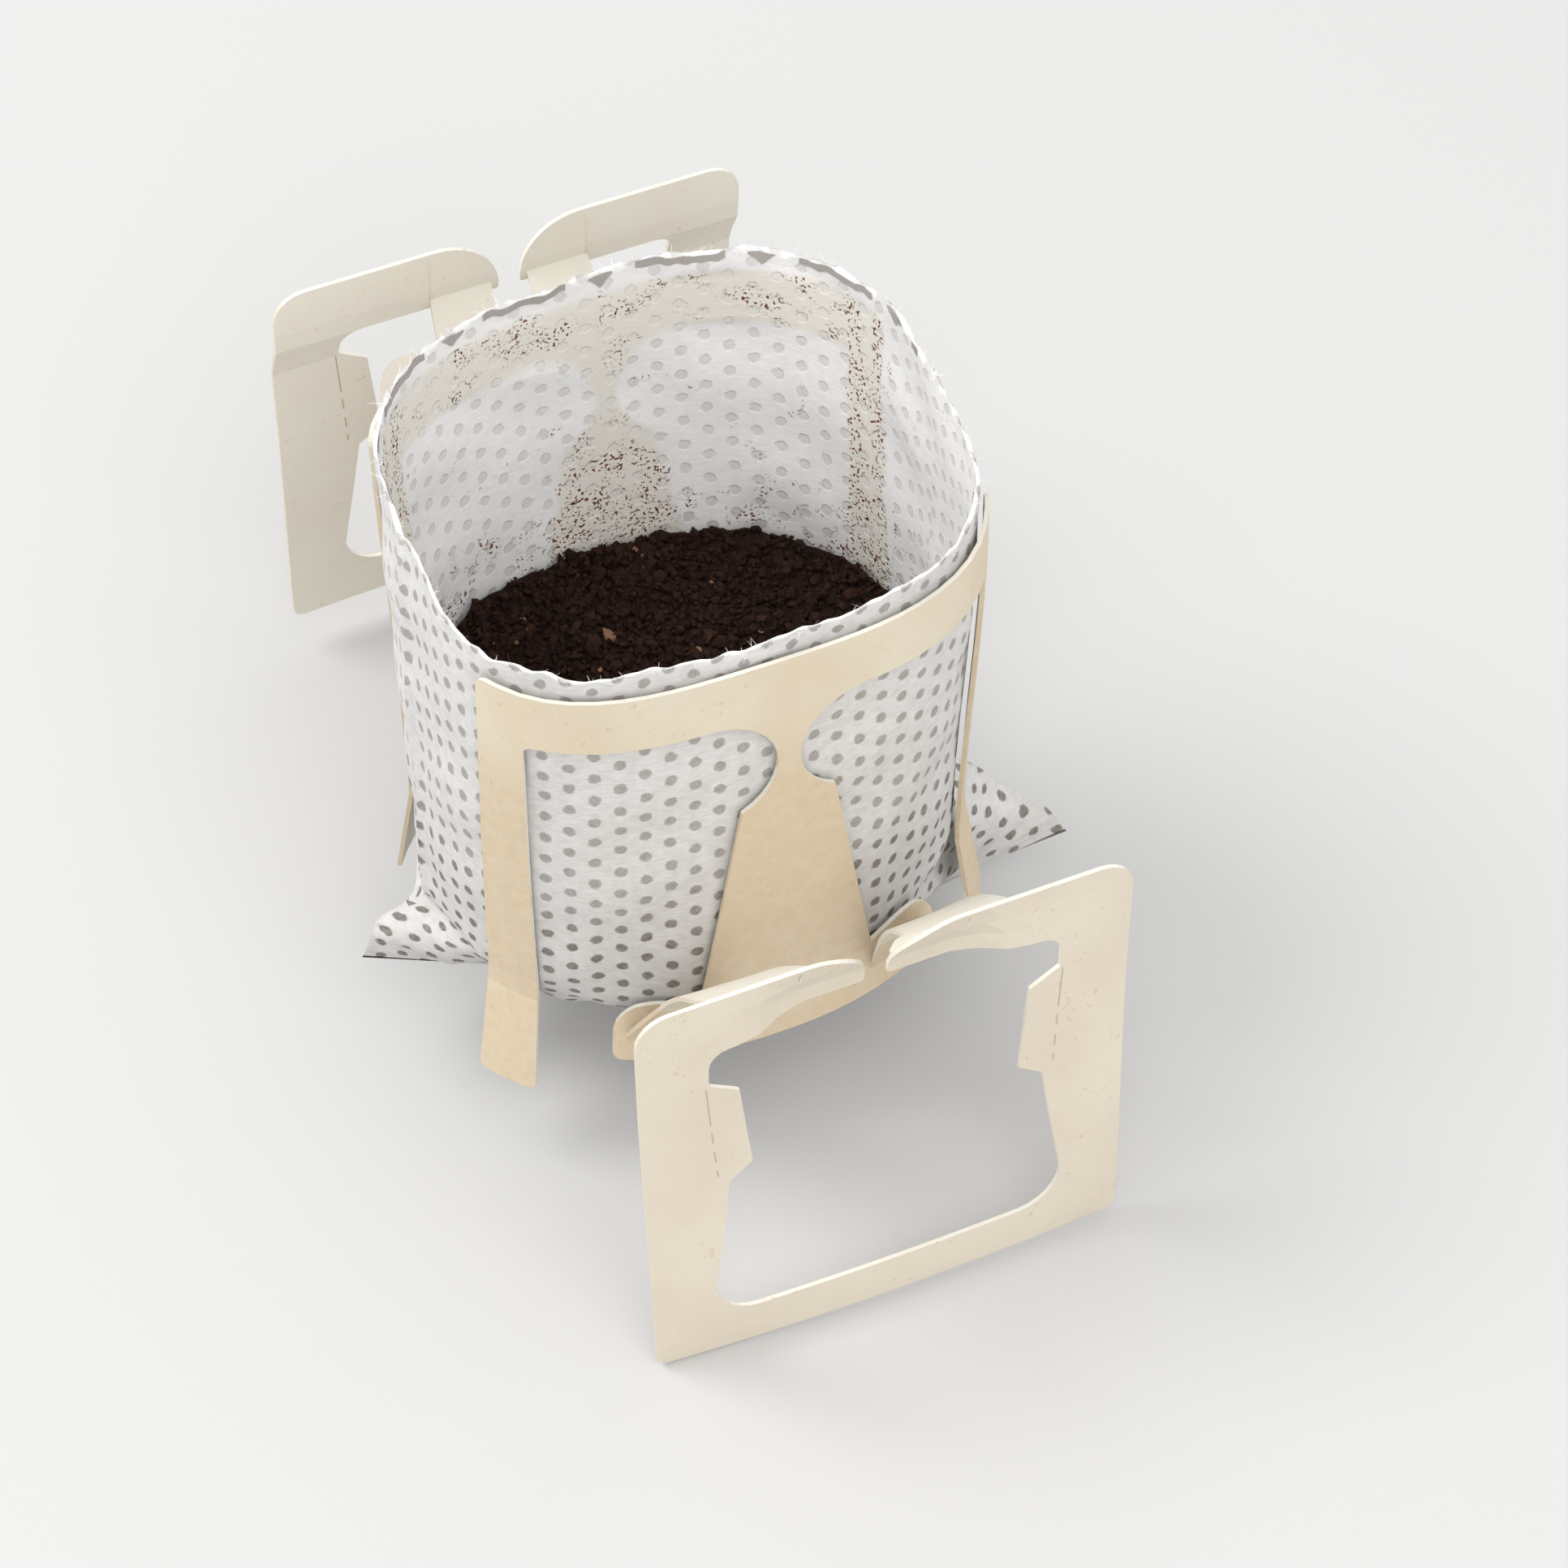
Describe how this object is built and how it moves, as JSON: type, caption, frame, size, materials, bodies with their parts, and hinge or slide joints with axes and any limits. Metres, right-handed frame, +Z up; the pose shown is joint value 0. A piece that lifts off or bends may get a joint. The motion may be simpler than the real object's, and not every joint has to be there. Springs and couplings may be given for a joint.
{
  "type": "drip coffee bag",
  "caption": "Single-serve drip coffee bag: a torn-open nonwoven filter bag of ground coffee, with die-cut card holders folded out to hook over a cup's rim.",
  "frame": {"origin": "centre of the cup's rim circle, in the plane of the rim's top, as the bag hangs on the cup", "axes": "+Z up along the cup's axis; the front holder hangs over the -Y side of the rim and the back holder over the +Y side; +X runs along the width of the cards"},
  "size_m": [0.0756, 0.1077, 0.0736],
  "materials": {
    "nonwoven": "white thermally bonded nonwoven with small oval bond dots, matte",
    "coffee": "medium-ground roasted coffee, dark brown, matte",
    "kraft_card": "pale kraft paperboard, matte, paler on its inner side"
  },
  "bodies": {
    "root": {"filter_bag": "nonwoven", "coffee_grounds": "coffee", "front_holder": "kraft_card", "back_holder": "kraft_card"}
  },
  "joints": []
}
